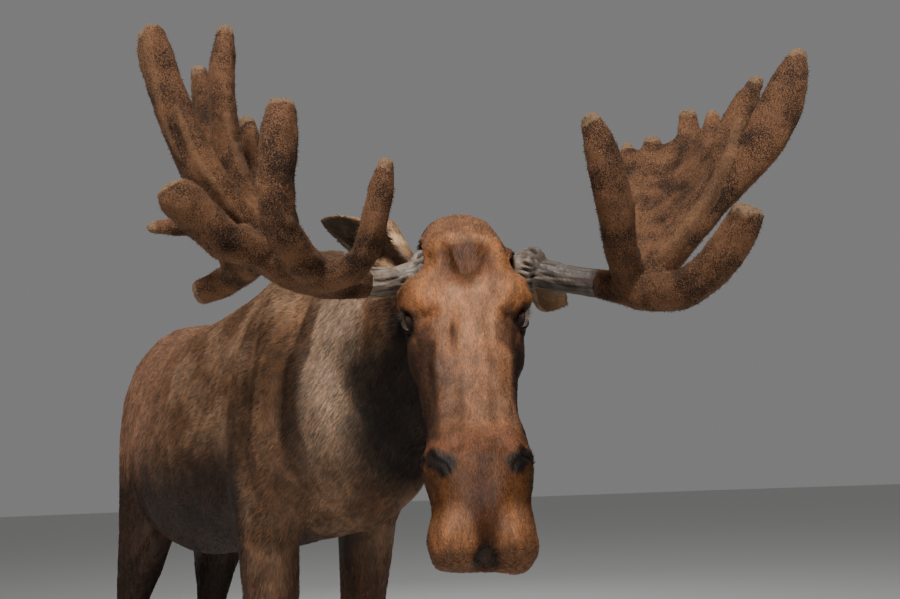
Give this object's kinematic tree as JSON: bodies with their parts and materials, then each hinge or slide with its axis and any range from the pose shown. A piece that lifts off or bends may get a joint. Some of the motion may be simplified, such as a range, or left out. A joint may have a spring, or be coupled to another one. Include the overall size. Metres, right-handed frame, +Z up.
{
  "type": "moose",
  "caption": "Life-size still model of a bull moose standing with its head hanging and turned, broad antlers in velvet.",
  "frame": {"origin": "centre of the bounding box's footprint, on the floor the hooves stand on", "axes": "+Z up; -Y the way the body faces, +Y towards the tail; +X the animal's left side; the head is turned to the animal's right, between -Y and -X"},
  "size_m": [1.0942, 2.8328, 2.1329],
  "materials": {
    "coat": "short glossy dark brown coat",
    "leg_coat": "short reddish-brown leg coat",
    "velvet": "plush brown antler velvet",
    "bare_antler": "weathered grey-brown bare antler",
    "eye": "wet dark eye",
    "hoof": "worn dark horn"
  },
  "bodies": {
    "root": {"antler_L_beam": "bare_antler", "antler_L_brow_inner": "velvet", "antler_L_brow_outer": "velvet", "antler_L_palm": "velvet", "antler_L_tine_1": "velvet", "antler_L_tine_2": "velvet", "antler_R_beam": "bare_antler", "antler_R_brow_inner": "velvet", "antler_R_brow_outer": "velvet", "antler_R_knob": "velvet", "antler_R_palm": "velvet", "antler_R_tine_1": "velvet", "antler_R_tine_2": "velvet", "antler_R_tine_3": "velvet", "antler_R_tine_4": "velvet", "antler_R_tine_5": "velvet", "antler_R_tine_6": "velvet", "barrel": "coat", "bell": "coat", "ear_L": "coat", "ear_R": "coat", "eye_L": "eye", "eye_R": "eye", "foreleg_L_cannon": "leg_coat", "foreleg_L_dewclaw_inner": "hoof", "foreleg_L_dewclaw_outer": "hoof", "foreleg_L_hoof_inner": "hoof", "foreleg_L_hoof_outer": "hoof", "foreleg_L_pastern": "leg_coat", "foreleg_L_upper": "leg_coat", "foreleg_R_cannon": "leg_coat", "foreleg_R_dewclaw_inner": "hoof", "foreleg_R_dewclaw_outer": "hoof", "foreleg_R_hoof_inner": "hoof", "foreleg_R_hoof_outer": "hoof", "foreleg_R_pastern": "leg_coat", "foreleg_R_upper": "leg_coat", "head": "coat", "hindleg_L_cannon": "leg_coat", "hindleg_L_dewclaw_inner": "hoof", "hindleg_L_dewclaw_outer": "hoof", "hindleg_L_hoof_inner": "hoof", "hindleg_L_hoof_outer": "hoof", "hindleg_L_pastern": "leg_coat", "hindleg_L_upper": "leg_coat", "hindleg_R_cannon": "leg_coat", "hindleg_R_dewclaw_inner": "hoof", "hindleg_R_dewclaw_outer": "hoof", "hindleg_R_hoof_inner": "hoof", "hindleg_R_hoof_outer": "hoof", "hindleg_R_pastern": "leg_coat", "hindleg_R_upper": "leg_coat", "hindquarters": "coat", "lower_jaw": "coat", "muzzle": "coat", "neck": "coat", "shoulders": "coat", "tail": "coat"}
  },
  "joints": []
}
